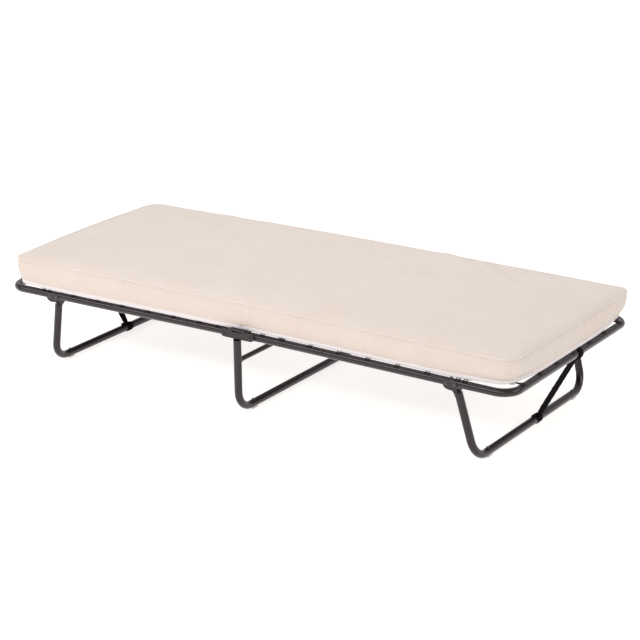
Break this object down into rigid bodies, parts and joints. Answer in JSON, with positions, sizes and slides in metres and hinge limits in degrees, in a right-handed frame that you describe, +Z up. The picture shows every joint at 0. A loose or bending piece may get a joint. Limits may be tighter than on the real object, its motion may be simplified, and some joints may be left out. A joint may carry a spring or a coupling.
{
  "type": "folding cot",
  "caption": "Folding cot of bent steel tube: hinged half frames on a centre leg, folding end legs held open by straps, a stretched deck and a loose foam mattress.",
  "frame": {"origin": "on the floor under the middle of the cot, midway between the ends and the sides", "axes": "+Z up, +X towards the foot end, +Y towards the far side"},
  "size_m": [1.9054, 0.821, 0.3717],
  "materials": {
    "frame_paint": "smooth gloss powder coat, charcoal",
    "zinc_steel": "zinc plated rivets and washers",
    "nylon": "moulded black nylon",
    "glide_nylon": "moulded nylon in its natural milky white",
    "webbing": "black elastic webbing",
    "deck_cloth": "woven polypropylene, dark grey",
    "mattress_cloth": "plain weave cotton cover, cream, with paler piping"
  },
  "bodies": {
    "centre_leg": {"centre_leg_tube": "frame_paint", "centre_leg_crossbar": "frame_paint", "hinge_plate_near": "frame_paint", "hinge_plate_far": "frame_paint", "hinge_rivet_head_near": "zinc_steel", "hinge_rivet_head_far": "zinc_steel", "hinge_rivet_foot_near": "zinc_steel", "hinge_rivet_foot_far": "zinc_steel", "hinge_washer_head_near": "zinc_steel", "hinge_washer_head_far": "zinc_steel", "hinge_washer_foot_near": "zinc_steel", "hinge_washer_foot_far": "zinc_steel", "centre_glide_near": "glide_nylon", "centre_glide_far": "glide_nylon"},
    "head_frame": {"head_rail": "frame_paint", "head_rail_plug_near": "nylon", "head_rail_plug_far": "nylon", "head_leg_pivot_near": "zinc_steel", "head_leg_pivot_far": "zinc_steel", "head_leg_stop_near": "zinc_steel", "head_leg_stop_far": "zinc_steel", "head_leg_spacer_near": "zinc_steel", "head_leg_spacer_far": "zinc_steel", "head_deck": "deck_cloth", "head_strap": "webbing", "mattress_head_middle": "mattress_cloth", "mattress_head_end": "mattress_cloth"},
    "head_leg": {"head_leg_tube": "frame_paint", "head_leg_tongue_near": "frame_paint", "head_leg_tongue_far": "frame_paint", "head_glide_near": "glide_nylon", "head_glide_far": "glide_nylon"},
    "foot_frame": {"foot_rail": "frame_paint", "foot_rail_plug_near": "nylon", "foot_rail_plug_far": "nylon", "foot_leg_pivot_near": "zinc_steel", "foot_leg_pivot_far": "zinc_steel", "foot_leg_stop_near": "zinc_steel", "foot_leg_stop_far": "zinc_steel", "foot_leg_spacer_near": "zinc_steel", "foot_leg_spacer_far": "zinc_steel", "foot_deck": "deck_cloth", "foot_strap": "webbing", "mattress_foot_middle": "mattress_cloth", "mattress_foot_end": "mattress_cloth"},
    "foot_leg": {"foot_leg_tube": "frame_paint", "foot_leg_tongue_near": "frame_paint", "foot_leg_tongue_far": "frame_paint", "foot_glide_near": "glide_nylon", "foot_glide_far": "glide_nylon"}
  },
  "joints": [
    {"name": "head_fold", "type": "hinge", "parent": "centre_leg", "child": "head_frame", "pos_m": [-0.049, 0, 0.26029], "axis": [0, 1, 0], "range_deg": [0, 80], "deforming": ["mattress_head_middle"]},
    {"name": "foot_fold", "type": "hinge", "parent": "centre_leg", "child": "foot_frame", "pos_m": [0.049, 0, 0.26029], "axis": [0, -1, 0], "range_deg": [0, 80], "deforming": ["mattress_foot_middle"]},
    {"name": "head_leg_fold", "type": "hinge", "parent": "head_frame", "child": "head_leg", "pos_m": [-0.73295, 0, 0.25168], "axis": [0, -1, 0], "range_deg": [0, 95], "deforming": ["head_strap"]},
    {"name": "foot_leg_fold", "type": "hinge", "parent": "foot_frame", "child": "foot_leg", "pos_m": [0.73295, 0, 0.25168], "axis": [0, 1, 0], "range_deg": [0, 95], "deforming": ["foot_strap"]}
  ]
}
